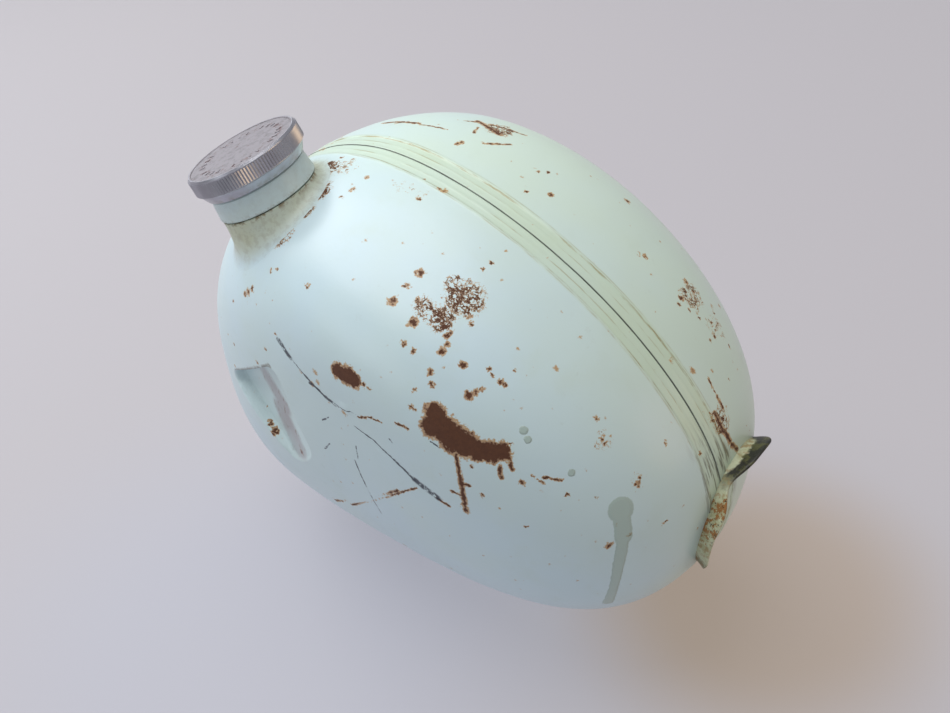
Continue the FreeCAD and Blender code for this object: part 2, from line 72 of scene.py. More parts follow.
# ---------------------------------------------------------------- the tank's form, as in the design
WIDEST = Vector((-30.0, 0.0, 109.0)) * MM
REACH_FRONT = WIDEST.x - NEAR_LOW.x
REACH_REAR = NEAR_HIGH.x - WIDEST.x
REACH_TOP = FAR_HIGH.z - WIDEST.z
REACH_BOTTOM = WIDEST.z - FAR_LOW.z
HALF_WIDTH = FAR_HIGH.y
CROWN = (40.0 * MM, 57.0 * MM)
FULL_TOP_FRONT = 0.72
FULL_TOP_REAR = 0.55
FULL_BOTTOM_REAR = 1.21
FULL_BOTTOM_FRONT = 1.42
FULL_SIDE = 1.05
SHEET = 1.2 * MM
SEAM_GAP = 0.12 * MM
TRACK = 9.0 * MM
POCKET = ((-59.0, 18.0), (-10.0, 53.0), (6.0, 4.0), (-10.0, -12.0))    # corners, mm from the widest point
NECK_HOLE = 23.4 * MM             # radius of the near shell's hole
COLLAR_BORE = 22.2 * MM
REAR_END = (147, 0, 122)          # where the seam meets the bracket, in mm
BIG_PATCH = 3.5                   # radius in mm above which a rust patch keeps its full depth


# ---------------------------------------------------------------- settings
class TankSettings(bpy.types.PropertyGroup):
    """Sizes of the visible pieces."""
    grid: bpy.props.FloatProperty(
        name="Grid", description="Spacing of the shells' mesh", default=2.8 * MM, unit="LENGTH")
    fine_grid: bpy.props.FloatProperty(
        name="Fine grid", description="Spacing in the pocket and by the seam", default=0.8 * MM,
        unit="LENGTH")
    pocket_depth: bpy.props.FloatProperty(
        name="Pocket depth", description="Depth of the stamped pocket along its upper edge",
        default=5.0 * MM, unit="LENGTH")
    track_sink: bpy.props.FloatProperty(
        name="Track sink", description="Depth of the flattened weld track beside the seam",
        default=0.6 * MM, unit="LENGTH")
    collar_waist: bpy.props.FloatProperty(
        name="Collar waist", description="Radius of the neck collar at its top", default=24.6 * MM,
        unit="LENGTH")
    collar_foot: bpy.props.FloatProperty(
        name="Collar foot", description="Radius where the collar runs into the shell",
        default=31.0 * MM, unit="LENGTH")


class TankFinish(bpy.types.PropertyGroup):
    """Colours of the finishes."""
    enamel: bpy.props.FloatVectorProperty(
        name="Enamel", description="Pale green enamel", subtype="COLOR", size=3,
        default=(0.590, 0.710, 0.620))
    # Bluer enamel: random bluer patches, and a painted sky reflection over the whole near side.
    enamel_cool_and_reflection: bpy.props.FloatVectorProperty(
        name="Cool enamel", description="Bluer, cleaner areas", subtype="COLOR", size=3,
        default=(0.565, 0.705, 0.755))
    seam_tint: bpy.props.FloatVectorProperty(
        name="Seam tint", description="Yellowed enamel on the weld tracks", subtype="COLOR", size=3,
        default=(0.53, 0.64, 0.46))
    grime: bpy.props.FloatVectorProperty(
        name="Grime", description="Brown dirt in corners", subtype="COLOR", size=3,
        default=(0.20, 0.145, 0.07))
    rust_dark: bpy.props.FloatVectorProperty(
        name="Rust", description="Dark scale in the middle of a rust patch", subtype="COLOR", size=3,
        default=(0.062, 0.021, 0.010))
    rust_stain: bpy.props.FloatVectorProperty(
        name="Rust stain", description="Orange stain round a rust patch", subtype="COLOR", size=3,
        default=(0.42, 0.18, 0.030))


# ---------------------------------------------------------------- shader maths
class Value:
    """A shader socket that can be used in an expression."""

    def __init__(self, tree, socket):
        self.tree = tree
        self.socket = socket

    def _math(self, operation, other, swap=False):
        a, b = (other, self) if swap else (self, other)
        return self.tree.node("ShaderNodeMath", {"operation": operation}, {0: a, 1: b})

    def __add__(self, other):
        return self._math("ADD", other)

    def __radd__(self, other):
        return self._math("ADD", other)

    def __sub__(self, other):
        return self._math("SUBTRACT", other)

    def __rsub__(self, other):
        return self._math("SUBTRACT", other, swap=True)

    def __mul__(self, other):
        return self._math("MULTIPLY", other)

    def __rmul__(self, other):
        return self._math("MULTIPLY", other)

    def __truediv__(self, other):
        return self._math("DIVIDE", other)

    def __pow__(self, other):
        return self._math("POWER", other)

    def highest(self, other):
        return self._math("MAXIMUM", other)

    def lowest(self, other):
        return self._math("MINIMUM", other)

    def size(self):
        """The value without its sign."""
        return self.tree.node("ShaderNodeMath", {"operation": "ABSOLUTE"}, {0: self})

    def above(self, edge, width, low=0.0, high=1.0):
        """0 below the edge, rising smoothly to 1 over the width."""
        return self.tree.node("ShaderNodeMapRange", {"interpolation_type": "SMOOTHSTEP"},
                              {"Value": self, "From Min": edge, "From Max": edge + width,
                               "To Min": low, "To Max": high})

    def below(self, edge, width):
        """1 up to the edge, falling smoothly to 0 over the width."""
        return self.above(edge, width, 1.0, 0.0)


class Finish:
    """One material under construction."""

    def __init__(self, name):
        self.material = bpy.data.materials.new(name)
        self.material.use_nodes = True
        self.nodes = self.material.node_tree.nodes
        self.links = self.material.node_tree.links
        self.shader = self.nodes["Principled BSDF"]
        self.place = self.node("ShaderNodeTexCoord", output="Object")
        self.marked = self.place

    def node(self, kind, settings=None, values=None, output=0):
        """Adds a node: its settings first, then the values or links of its sockets."""
        made = self.nodes.new(kind)
        for key, value in (settings or {}).items():
            if key == "stops":
                self._stops(made.color_ramp, value)
            else:
                setattr(made, key, value)
        for key, value in (values or {}).items():
            self._feed(made.inputs[key], value)
        return Value(self, made.outputs[output])

    def _stops(self, ramp, stops):
        while len(ramp.elements) < len(stops):
            ramp.elements.new(1.0)
        for element, (position, colour) in zip(ramp.elements, stops):
            element.position = position
            element.color = (*colour, 1.0)

    def _feed(self, socket, value):
        if isinstance(value, Value):
            self.links.new(value.socket, socket)
        elif socket.type == "RGBA" and len(value) == 3:
            socket.default_value = (*value, 1.0)
        else:
            socket.default_value = value

    def mix(self, mask, a, b):
        """A colour between a and b."""
        return self.node("ShaderNodeMix", {"data_type": "RGBA"}, {0: mask, 6: a, 7: b}, output=2)

    def vector(self, operation, a, b=None, output=0):
        values = {0: a} if b is None else {0: a, 1: b}
        return self.node("ShaderNodeVectorMath", {"operation": operation}, values, output)

    def clouds(self, scale, detail=4.0, rough=0.55, offset=(0.0, 0.0, 0.0), stretch=(1.0, 1.0, 1.0)):
        """Noise from 0 to 1, its scale in cycles to the metre."""
        spot = self.vector("MULTIPLY", self.vector("ADD", self.place, offset), stretch)
        return self.node("ShaderNodeTexNoise", None,
                         {"Vector": spot, "Scale": scale, "Detail": detail, "Roughness": rough})

    def cells(self, scale, offset=(0.0, 0.0, 0.0)):
        """Distance to the nearest of many scattered points, in cells."""
        spot = self.vector("ADD", self.place, offset)
        return self.node("ShaderNodeTexVoronoi", None, {"Vector": spot, "Scale": scale})

    def ragged_marks(self, scale, reach):
        """Makes the distances that follow wander by the reach, in metres."""
        noisy = self.node("ShaderNodeTexNoise", None,
                          {"Vector": self.place, "Scale": scale, "Detail": 3.0, "Roughness": 0.7}, output=1)
        shift = self.vector("MULTIPLY", self.vector("SUBTRACT", noisy, (0.5, 0.5, 0.5)), (2 * reach,) * 3)
        self.marked = self.vector("ADD", self.place, shift)

    def distance(self, point):
        """Distance from a point, in metres."""
        return self.vector("DISTANCE", self.marked, Vector(point), output=1)

    def run(self, start, end):
        """Distance from a straight run between two points, in metres."""
        start = Vector(start)
        along = Vector(end) - start
        from_start = self.vector("SUBTRACT", self.marked, start)
        share = self.vector("DOT_PRODUCT", from_start, along / along.length_squared, output=1)
        share = self.node("ShaderNodeClamp", None, {0: share})
        nearest = self.node("ShaderNodeVectorMath", {"operation": "SCALE"}, {0: along, 3: share})
        return self.vector("DISTANCE", from_start, nearest, output=1)

    def axis(self, index):
        return self.node("ShaderNodeSeparateXYZ", None, {0: self.place}, output=index)

    def height(self, direction, point):
        """Height over a plane through the point, in metres."""
        from_point = self.vector("SUBTRACT", self.place, Vector(point))
        return self.vector("DOT_PRODUCT", from_point, Vector(direction), output=1)

    def bump(self, height, distance, strength=1.0):
        return self.node("ShaderNodeBump", None,
                         {"Strength": strength, "Distance": distance, "Height": height})

    def set(self, **sockets):
        """Feeds the shader's own sockets."""
        for key, value in sockets.items():
            self._feed(self.shader.inputs[key.replace("_", " ")], value)
        return self.material


def wear(piece, material):
    """Gives a piece its material, in every slot."""
    if not piece.data.materials:
        piece.data.materials.append(material)
    for index in range(len(piece.material_slots)):
        piece.material_slots[index].link = "OBJECT"
        piece.material_slots[index].material = material


# ---------------------------------------------------------------- the enamel and its marks
# Places on the skin in the part's frame, in mm. A patch is x, y, z and a radius.
RUST_PATCHES = (
    (56, -84, 179.5, 4.7), (55.8, -86.5, 173.9, 5.2), (61, -84.9, 173.7, 6.2), (65.3, -84.5, 170.6, 6.8),
    (70.9, -83, 169, 6), (76.3, -81.3, 167.2, 4.9), (80.9, -79, 166.9, 4.7), (84.4, -76.7, 167.5, 4.2),
    (87.8, -75.8, 165.3, 2.1), (71.3, -87.6, 133.1, 2.3), (7.6, -91.5, 184.1, 3.9),
    (12.2, -91.2, 183.9, 4.7), (16.1, -91.1, 183.4, 3.9), (21.5, -90.6, 183, 1.6), (24.7, -90.4, 182.2, 1),
    (66.2, -73.1, 187.3, 2.3), (67.9, -71.2, 187.9, 1.9), (69.5, -68.5, 189, 1.2), (24, -50.2, 218.7, 2.1),
    (22.8, -51.5, 218.7, 1.6), (22.5, -58.1, 216.4, 1.7), (21.2, -66.6, 212.7, 2.4),
    (33.6, -68, 207.8, 2.5), (48.1, -63.4, 204.3, 1.8), (48.7, -61.5, 205, 1.6), (49.9, -66.1, 201.9, 1.6),
    (49.5, -69, 200.2, 2), (34.5, -75.7, 201.7, 1.6), (39.1, -75.5, 199.9, 1.2), (59.1, -67.4, 196.2, 1.9),
    (48.8, -76.8, 194, 1.6), (51.4, -79.2, 189.9, 1.4), (45, -83.7, 187.1, 1.3), (45.9, -87.1, 179.9, 1.5),
    (47.8, -86.9, 179.1, 1), (74.5, -61.8, 190.3, 1.6), (76, -61.3, 189.6, 1.4), (68.3, -61.7, 194.3, 1.2),
    (70.6, -62.2, 192.6, 1.2), (76.7, -55, 192.5, 1.1), (94.5, -76.5, 155, 1.4), (79.3, -85.4, 145.5, 1.2),
    (43, -26.2, 216.8, 1), (42.5, -31.4, 216.4, 1), (51, -52.2, 207.8, 1.5), (53.1, -53.8, 206.3, 1.2),
    (30.2, -60.2, 213, 1.4), (97.8, -79.3, 132.4, 0.8), (86.9, -72.9, 170.6, 0.8),
    (74.6, -84.6, 159.5, 0.9), (-59.5, -80.1, 191.2, 1.9), (-62.2, -80, 188.8, 1.6),
    (-56.1, -79.9, 194.3, 1.4), (-75.3, -78.4, 177.9, 1.1), (-78.3, -81.9, 151.7, 0.9),
    (-43.4, -89.1, 170.4, 1.1), (-34.5, -88.7, 183.7, 1.1), (-54.1, -88.1, 156.5, 1),
    (-44.5, -75.8, 207.4, 1.1), (-40.6, -75.4, 209.3, 0.9), (-19.1, -77.8, 210.5, 1.4),
    (-54.5, -71, 208.6, 1.2), (-59.2, -70, 207.3, 1), (-31.6, -32.1, 230.8, 1.5),
    (-33.2, -37.8, 229.6, 0.9), (-31.1, -22.4, 232, 1.5), (-44.7, -22.2, 230.9, 1.2),
    (-56.6, -13.5, 229.2, 1.1), (-44.5, -36.7, 228.7, 1.2), (2.5, -8.3, 229.8, 1.9), (0.8, -9, 230.1, 1.6),
    (-9.2, -7.6, 231.6, 0.8), (-1.4, -20.2, 229.8, 1.4), (113.3, -44.8, 165.9, 1.5), (115, -45, 163.9, 1.2),
    (130, -21.2, 153.2, 1.2), (128.8, -40, 147.6, 1.2), (129.3, -42.1, 145.4, 1.7),
    (126.6, -59.7, 121.3, 1.9), (127.6, -58.5, 122.1, 1.4), (132.1, -52.1, 124.3, 1.2),
    (140.4, -35.3, 123.9, 1.1), (139.9, -36.9, 123.2, 1), (108.1, -42, 172.6, 1.2),
    (119.8, -58.6, 145.9, 0.9), (110.5, -66.9, 149.2, 1), (138.8, -6.5, 140.9, 1.4),
    (77.9, 35.3, 197.9, 1.2), (79.4, 37.4, 196.5, 1.4), (-15.6, 23.2, 231.3, 1.7),
    (-14.9, 25.2, 231.1, 1.4), (35.6, 26.9, 219.5, 1.5), (27.8, 18.8, 222.9, 1.1), (22, 34.7, 222.8, 1),
    (25.1, 38.8, 221.2, 1.2), (53.3, 61.8, 202.6, 1.6), (95, 48.1, 181.9, 1.6), (99.8, 36.3, 181.9, 1.6),
    (101.3, 32.4, 181.6, 1.2), (99.4, 47.4, 178.4, 1), (104.6, 35.9, 177.8, 1), (108.8, 51, 167.4, 1),
    (112, 44, 167.7, 1.1), (116.5, 39.5, 164.6, 1.2), (117.1, 35, 165.6, 1), (108.8, 37.7, 173.4, 1.1),
    (120.4, 46.1, 156.5, 1), (129.2, 31.9, 151.1, 0.9),
)
# A run or scratch is two end points and a half width.
RUST_RUNS = (
    ((67.5, -86.1, 163.2), (69.1, -87.1, 156), 0.83), ((69.1, -87.1, 156), (70.5, -87.7, 147.6), 0.99),
    ((70.5, -87.7, 147.6), (71, -87.7, 134.2), 1.04), ((70.9, -87.5, 148.9), (74.1, -86.6, 149.5), 0.55),
    ((65.4, -88.9, 142.6), (69.8, -88.1, 141.9), 0.55),
    ((85.5, -79.3, 160.9), (86.5, -80.4, 156.5), 0.88), ((89, -76.2, 163.3), (89.9, -77, 160.4), 0.77),
    ((97.4, -73.2, 158), (102.1, -71.4, 154.6), 0.5), ((101.8, -70.2, 157), (107.5, -66.1, 155.2), 0.55),
    ((-26.4, -80.5, 72.4), (33.5, -91.2, 125.6), 0.72),
    ((-10.4, -83.9, 82.3), (34.5, -91.1, 124.8), 0.55),
    ((34.5, -91.1, 124.8), (45.8, -91.3, 134.9), 0.44),
    ((17.5, -93.4, 163.7), (26.2, -92.8, 167.9), 0.44),
    ((27.2, -92.8, 167.3), (31.1, -92.4, 167.9), 0.44), ((38.5, -91.2, 170.4), (45, -90.3, 169.7), 0.5),
    ((57.2, -90, 134), (63, -89.1, 131.7), 0.66), ((-67.9, 26.4, 224.1), (-44.3, 28.9, 230.1), 0.77),
    ((-57.7, 25.3, 227.7), (-24.8, 48.7, 227), 0.44), ((-43.3, 27.8, 230.4), (-28.6, 30.6, 231), 0.44),
    ((-25.8, 49.9, 226.7), (-8.9, 45.8, 226.8), 1.21), ((-19.7, 51.6, 226), (-2.9, 57.9, 222.1), 0.55),
    ((-7.4, 32.2, 229.4), (0.3, 41.7, 226.5), 0.61), ((-20.1, 43.2, 228.4), (-17.5, 37.2, 229.5), 0.55),
    ((125.7, 19, 159.4), (131.2, 18.2, 152), 0.5), ((131.2, 18.2, 152), (134.6, 18.1, 146.7), 0.77),
    ((134.3, 11.8, 148.3), (137.7, 11.6, 142.3), 1.1),
    ((137.7, 11.6, 142.3), (141.7, 13.7, 133.6), 1.21), ((128.9, 6.6, 156.6), (135.5, 6.6, 146.9), 0.44),
    ((130.9, 7.8, 153.7), (135.8, 9.5, 146), 0.33), ((142.6, 14.1, 131.2), (143.7, 17.1, 126.9), 1.1),
)
# Loose groups of specks: centre, radius, how thickly they lie.
SPECKLES = (
    ((44.9, -46.8, 212.2), 11.4, 0.62), ((38.3, -45.4, 215.2), 6.2, 0.60),
    ((33.7, -61.2, 211.4), 6.2, 0.60), ((42.5, -60.3, 208.3), 7.3, 0.66),
    ((37, -60.9, 210.2), 8.3, 0.45), ((-12.1, -17.9, 231.5), 7.3, 0.34),
    ((-4.7, -16.4, 230.6), 6.2, 0.34), ((-48.2, -50.1, 224.1), 9.0, 0.72),
    ((-48.3, -38.9, 227.5), 9.0, 0.74), ((-57.1, -23.9, 228.1), 9.0, 0.70),
    ((-50, -62, 217), 10.0, 0.60), ((-47.8, -19.7, 230.7), 9.4, 0.42),
    ((-61.8, -64, 211.6), 7.3, 0.50), ((-41.1, -81.3, 200.6), 7.3, 0.30),
    ((-63.2, -72.7, 201.6), 9.4, 0.20), ((100.9, 43.4, 178.7), 9.4, 0.55),
    ((113.2, 44.8, 166), 9.4, 0.42), ((-12.9, 50.7, 225.8), 9.4, 0.60), ((136.8, 13, 143.8), 8.3, 0.60),
    ((0.4, -93.3, 164.8), 11.4, 0.16), ((-54.9, -88.3, 131.9), 11.4, 0.20),
    ((129.2, -40.6, 146.6), 6.2, 0.30), ((97.1, -74.4, 156), 15.6, 0.16),
    ((114.2, -44.5, 165), 7.3, 0.34),
)
SCRATCHES = (
    ((-32.3, -89.4, 181.7), (-24, -91.2, 176.5), 1.43),
    ((-24, -91.2, 176.5), (-14.8, -92.4, 171.7), 0.39),
    ((-14.8, -92.4, 171.7), (-2.5, -93.2, 165.5), 0.66), ((-2.5, -93.2, 165.5), (5, -93.4, 163.6), 0.99),
    ((5, -93.4, 163.6), (16.6, -93.4, 165), 0.39), ((13.8, -93.3, 156.5), (25.1, -93.1, 153.8), 0.44),
    ((25.1, -93.1, 153.8), (35.7, -92.5, 147.1), 0.55),
    ((35.7, -92.5, 147.1), (45.5, -91.6, 140.1), 0.88), ((45.5, -91.6, 140.1), (57.3, -90, 134.5), 1.76),
    ((8.6, -92.1, 131), (10.9, -90.3, 114.4), 0.44), ((10.9, -90.3, 114.4), (14.5, -86.7, 94.2), 0.33),
    ((12.1, -92.8, 142.5), (11.3, -92.3, 134), 0.28),
    ((-11.9, -92.8, 168.4), (-5.9, -93.1, 167.7), 0.66),
    ((-12, -91.7, 126.6), (-6.8, -92.3, 133.3), 0.44), ((-8.2, -93, 147.7), (-3.1, -93.2, 152.5), 0.44),
    ((55.6, -88.6, 166.7), (60.2, -87.8, 165.1), 0.33),
    ((34.6, -92.6, 159.9), (36.1, -92.5, 158.3), 0.44),
)
RUN_HEAD = ((128.2, -52.5, 138), 6.4)
RUN_TAIL = (
    ((128.2, -52.5, 135), (130.3, -54.1, 124), 4.3),
    ((130.5, -54.3, 125.2), (129.3, -56.4, 106.8), 3.0),
    ((129.3, -56.4, 106.8), (121.3, -53.6, 72.6), 2.7),
)
BLOTS = (((89.4, -67, 174.8), 2.1), ((91.9, -67.8, 171.6), 1.9), ((109.6, -61.9, 157.6), 1.8))
# Ends of the painted shadow line under the pocket's upper step, in mm.
POCKET_STEP_SHADOW = ((-84, -81, 131), (-43, -90, 161))
POCKET_WEAR = (((-61, -85, 141), (-47, -86, 130), 5.0), ((-50, -85, 124), (-40, -87, 108), 6.0))
POCKET_SPOTS = (((-58, -84, 106.5), 2.2), ((-50, -86, 109.5), 1.6), ((-61.7, -83, 109), 1.8),
                ((-37, -88, 105.7), 1.6), ((-66, -81, 116), 1.4), ((-45, -87, 106), 1.2))


def metres(point):
    return tuple(c * MM for c in point)


def strongest(values):
    """The highest of several values."""
    return reduce(Value.highest, values)


def enamel(name, colours, seam=0.0, neck=0.0, dirt=0.0, marks=False):
    """Aged enamel. Seam and neck set how strongly those places are stained; marks adds the rust."""
    paint = Finish(name)
    broad = paint.clouds(9.0, 3.0)
    patchy = paint.clouds(38.0, 5.0, 0.6, offset=(3.1, 0.4, 1.7))
    fine = paint.clouds(900.0, 3.0, 0.6)
    ragged = paint.clouds(330.0, 4.0, 0.65)
    # The near side (low y) is tinted bluer as a painted sky reflection; the broad clouds add random bluer
    # tone.
    side = paint.axis(1).below(-62.0 * MM, 75.0 * MM)
    cool_tone_and_reflection = (broad.above(0.35, 0.3) * 0.5 + side * 0.7).lowest(1.0)
    colour = paint.mix(cool_tone_and_reflection, colours.enamel, colours.enamel_cool_and_reflection)
    dust = patchy.above(0.52, 0.25) * 0.22
    colour = paint.mix(dust, colour, (0.52, 0.62, 0.52))
    smudge = (paint.clouds(95.0, 5.0, 0.7, offset=(7.0, 2.0, 0.0)).above(0.60, 0.12)
              * paint.clouds(14.0, 2.0, offset=(1.0, 5.0, 2.0)).above(0.48, 0.15))
    colour = paint.mix(smudge * 0.20, colour, (0.36, 0.40, 0.34))
    relief = fine * 0.10 + paint.clouds(260.0, 2.0, 0.5) * 0.5
    rough = 0.27 + patchy * 0.16 + smudge * 0.2
    if seam:
        colour = seam_stains(paint, colours, colour, patchy, ragged, seam)
    if neck:
        colour, stain = neck_stains(paint, colours, colour, patchy, ragged, neck)
        rough = rough + stain * 0.2
    if dirt:
        grit = paint.clouds(120.0, 6.0, 0.7, offset=(0.3, 0.9, 0.2)).above(0.52 - 0.15 * dirt, 0.2)
        colour = paint.mix(grit * dirt, colour, colours.grime)
        rough = rough + grit * (0.35 * dirt)
    if marks:
        field = rust_field(paint, ragged, fine)
        colour, rough, relief = rusted(paint, colours, field, colour, rough, relief)
        dashes = paint.clouds(230.0, 4.0, 0.7, offset=(2.0, 8.0, 1.0))
        paint.ragged_marks(500.0, 0.7 * MM)
        colour, relief = scratched(paint, dashes, ragged, colour, relief)
        colour = pocket_wear_and_step_shadow(paint, dashes, patchy, colour)
        colour, rough, relief = paint_run(paint, ragged, colour, rough, relief)
    return paint.set(Base_Color=colour, Roughness=rough, Normal=paint.bump(relief, 0.12 * MM),
                     Coat_Weight=0.12, Coat_Roughness=0.18)


def seam_stains(paint, colours, colour, patchy, ragged, seam):
    """Yellowed weld tracks with dirty edges, a dark line at the seam and soot at its rear end."""
    across = paint.axis(1).size()
    wander = (patchy - 0.5) * (3.0 * MM)
    band = (across + wander).below(TRACK * 0.95, 3.0 * MM)
    colour = paint.mix(band * (0.35 + patchy * 0.6) * seam, colour, colours.seam_tint)
    streaky = paint.clouds(60.0, 4.0, 0.6, stretch=(1.0, 9.0, 1.0))
    for edge, width, strength in ((8.8, 0.55, 0.9), (4.6, 0.35, 0.55), (10.2, 0.4, 0.4)):
        line = (across + (ragged - 0.5) * (0.5 * MM) - edge * MM).size()
        line = line.below(width * 0.3 * MM, width * MM) * streaky.above(0.42, 0.2) * strength
        colour = paint.mix(line, colour, (0.30, 0.25, 0.10))
    crack = across.below(0.10 * MM, 0.45 * MM) * (0.3 + streaky)
    colour = paint.mix(crack, colour, (0.06, 0.06, 0.05))
    rear = paint.distance(metres(REAR_END)).below(6.0 * MM, 34.0 * MM)
    soot = rear * streaky.above(0.47, 0.12) * across.below(8.0 * MM, 8.0 * MM)
    return paint.mix(soot * 0.75, colour, (0.09, 0.08, 0.05))


def neck_stains(paint, colours, colour, patchy, ragged, neck):
    """Yellow staining round the neck's foot and brown dirt along its joint."""
    radial = paint.distance(SHOULDER - NECK_AXIS * 5.0 * MM)
    stain = radial.below(24.5 * MM, 10.0 * MM) * (0.35 + patchy) * neck
    colour = paint.mix(stain.lowest(0.75), colour, (0.50, 0.50, 0.30))
    joint = paint.height(NECK_AXIS, SHOULDER).size()
    brown = (joint.below(0.6 * MM, 2.2 * MM) + 0.25) * ragged.above(0.46, 0.16) * neck
    brown = brown * radial.below(27.0 * MM, 10.0 * MM)
    return paint.mix(brown.lowest(0.9), colour, colours.grime), stain


def rust_field(paint, ragged, fine):
    """How far inside a rust mark each place lies, with a ragged edge; it falls below 0 outside."""
    paint.ragged_marks(430.0, 2.4 * MM)
    spots = [(radius, 1.0 - paint.distance(metres(point)) / (radius * 1.15 * MM))
             for *point, radius in RUST_PATCHES]
    field = strongest(spot for radius, spot in spots if radius > BIG_PATCH)
    small = strongest(spot for radius, spot in spots if radius <= BIG_PATCH)
    field = field.highest(small * 0.55 - 0.10)
    for point, radius in POCKET_SPOTS:
        field = field.highest(0.8 - paint.distance(metres(point)) / (radius * 1.5 * MM))
    paint.ragged_marks(430.0, 1.3 * MM)
    streaks = strongest(1.0 - paint.run(metres(start), metres(end)) / (width * 1.7 * MM)
                        for start, end, width in RUST_RUNS)
    field = field.highest(streaks * 0.5 - 0.08)
    specks = (paint.clouds(480.0, 4.0, 0.65, offset=(0.31, 0.12, 0.77)) - 0.5).size()
    cover = strongest(paint.distance(metres(centre)).below(radius * 0.5 * MM, radius * 0.8 * MM) * thick
                      for centre, radius, thick in SPECKLES)
    gaps = paint.clouds(260.0, 3.0, 0.6, offset=(0.7, 0.4, 0.1))
    field = field.highest((cover * 1.5 + gaps * 1.3 - 1.22 - specks * 5.0).lowest(0.28))
    stray = (paint.clouds(26.0, 2.0, offset=(4.0, 0.0, 9.0)).above(0.60, 0.1) * 0.16
             - paint.cells(120.0, offset=(5.0, 1.0, 0.3)))
    field = field.highest(stray * 1.2)
    return field + (ragged - 0.5) * 0.55 + (fine - 0.5) * 0.45


def rusted(paint, colours, field, colour, rough, relief):
    """Orange stain, yellow rim and pitted dark scale."""
    stain = field.above(-0.10, 0.16)
    scale = field.above(0.10, 0.16)
    rim = field.above(-0.06, 0.06) - field.above(0.04, 0.08)
    colour = paint.mix(stain * 0.80, colour, colours.rust_stain)
    colour = paint.mix(rim * 0.30, colour, (0.50, 0.36, 0.12))
    pitted = paint.mix(paint.clouds(520.0, 5.0, 0.7), colours.rust_dark, (0.135, 0.050, 0.020))
    colour = paint.mix(scale, colour, pitted)
    rough = rough + scale * 0.45 + stain * 0.12
    return colour, rough, relief + scale * (paint.clouds(700.0, 4.0, 0.7) * 3.0 - 3.2)


def scratched(paint, dashes, ragged, colour, relief):
    """Dark broken scratches."""
    for start, end, width in SCRATCHES:
        cut = paint.run(metres(start), metres(end)) + (ragged - 0.5) * (1.0 * MM)
        cut = cut.below(width * 0.55 * MM, width * 0.8 * MM) * dashes.above(0.36, 0.10)
        colour = paint.mix(cut * 0.95, colour, (0.020, 0.027, 0.045))
        relief = relief - cut * 0.8
    return colour, relief


def pocket_wear_and_step_shadow(paint, dashes, patchy, colour):
    """Rubbed, scuffed floor of the pocket and a painted shadow line along its upper step."""
    start, end = (metres(p) for p in POCKET_STEP_SHADOW)
    worn = strongest(1.0 - paint.run(metres(near), metres(far)) / (radius * 1.7 * MM)
                     for near, far, radius in POCKET_WEAR)
    worn = (worn.above(0.0, 0.5) * (0.35 + patchy)).lowest(1.0)
    colour = paint.mix(worn * 0.75, colour, (0.30, 0.25, 0.27))
    scuffs = paint.clouds(420.0, 5.0, 0.7, stretch=(1.0, 1.0, 0.35)).above(0.56, 0.08) * worn
    colour = paint.mix(scuffs * 0.8, colour, (0.17, 0.085, 0.04))
    # Painted shadow: a broken dark line under the pocket's upper step.
    edge = paint.run(start, end).below(0.7 * MM, 1.4 * MM) * dashes.above(0.30, 0.2)
    return paint.mix(edge * 0.7, colour, (0.12, 0.095, 0.05))


def paint_run(paint, ragged, colour, rough, relief):
    """A run of green paint under a round drop, and a few blots."""
    spots = [RUN_HEAD, *BLOTS]
    runny = strongest([1.0 - paint.distance(metres(point)) / (radius * MM) for point, radius in spots]
                      + [1.0 - paint.run(metres(start), metres(end)) / (width * MM)
                         for start, end, width in RUN_TAIL])
    runny = runny + (ragged - 0.5) * 0.10
    colour = paint.mix(runny.above(0.0, 0.10) * 0.62, colour, (0.30, 0.38, 0.30))
    relief = relief + runny.above(0.0, 0.35) * 2.5
    return colour, rough - runny.above(0.0, 0.2) * 0.05, relief


def worn_metal(name, base, dull, stain, rough=0.34, marks_scale=240.0):
    """Worn bare metal with dull patches and a stain."""
    metal = Finish(name)
    patch = metal.clouds(marks_scale, 5.0, 0.65)
    broad = metal.clouds(45.0, 3.0)
    grain = metal.clouds(1400.0, 2.0)
    colour = metal.mix(broad.above(0.4, 0.3), base, dull)
    colour = metal.mix(patch.above(0.60, 0.10) * 0.6, colour, stain)
    return metal.set(Base_Color=colour, Metallic=0.92, Roughness=rough + patch * 0.22,
                     Normal=metal.bump(grain + patch, 0.03 * MM))


def cap_metal():
    """The cap: a bright knurled band and a stained, matt top."""
    metal = Finish("worn cap metal")
    height = metal.height(NECK_AXIS, SHOULDER)
    radial = metal.node("ShaderNodeVectorMath", {"operation": "CROSS_PRODUCT"},
                        {0: metal.vector("SUBTRACT", metal.place, SHOULDER), 1: NECK_AXIS})
    radius = metal.vector("LENGTH", radial, output=1)
    top = height.above(23.6 * MM, 0.5 * MM) * radius.below(26.6 * MM, 0.8 * MM)
    blotch = metal.clouds(260.0, 5.0, 0.7)
    specks = metal.cells(420.0)
    colour = metal.mix(metal.clouds(60.0, 3.0).above(0.4, 0.3), (0.50, 0.50, 0.55), (0.38, 0.375, 0.42))
    matt = metal.mix(blotch.above(0.45, 0.2), (0.265, 0.245, 0.265), (0.20, 0.185, 0.20))
    colour = metal.mix(top, colour, matt)
    pits = specks.below(0.10, 0.12) * blotch.above(0.44, 0.12) * top
    colour = metal.mix(pits * 0.8, colour, (0.14, 0.05, 0.04))
    ring = (radius - 20.0 * MM).size().below(1.4 * MM, 1.6 * MM) * top * blotch.above(0.50, 0.12)
    colour = metal.mix(ring * 0.35, colour, (0.20, 0.09, 0.075))
    low = height.below(11.3 * MM, 3.5 * MM) * blotch.above(0.42, 0.2)
    colour = metal.mix(low * 0.5, colour, (0.27, 0.24, 0.18))
    bare = 0.95 - top * 0.50
    return metal.set(Base_Color=colour, Metallic=bare, Roughness=0.26 + top * 0.32 + blotch * 0.14,
                     Normal=metal.bump(blotch + metal.clouds(1500.0, 2.0) * 0.4, 0.05 * MM))


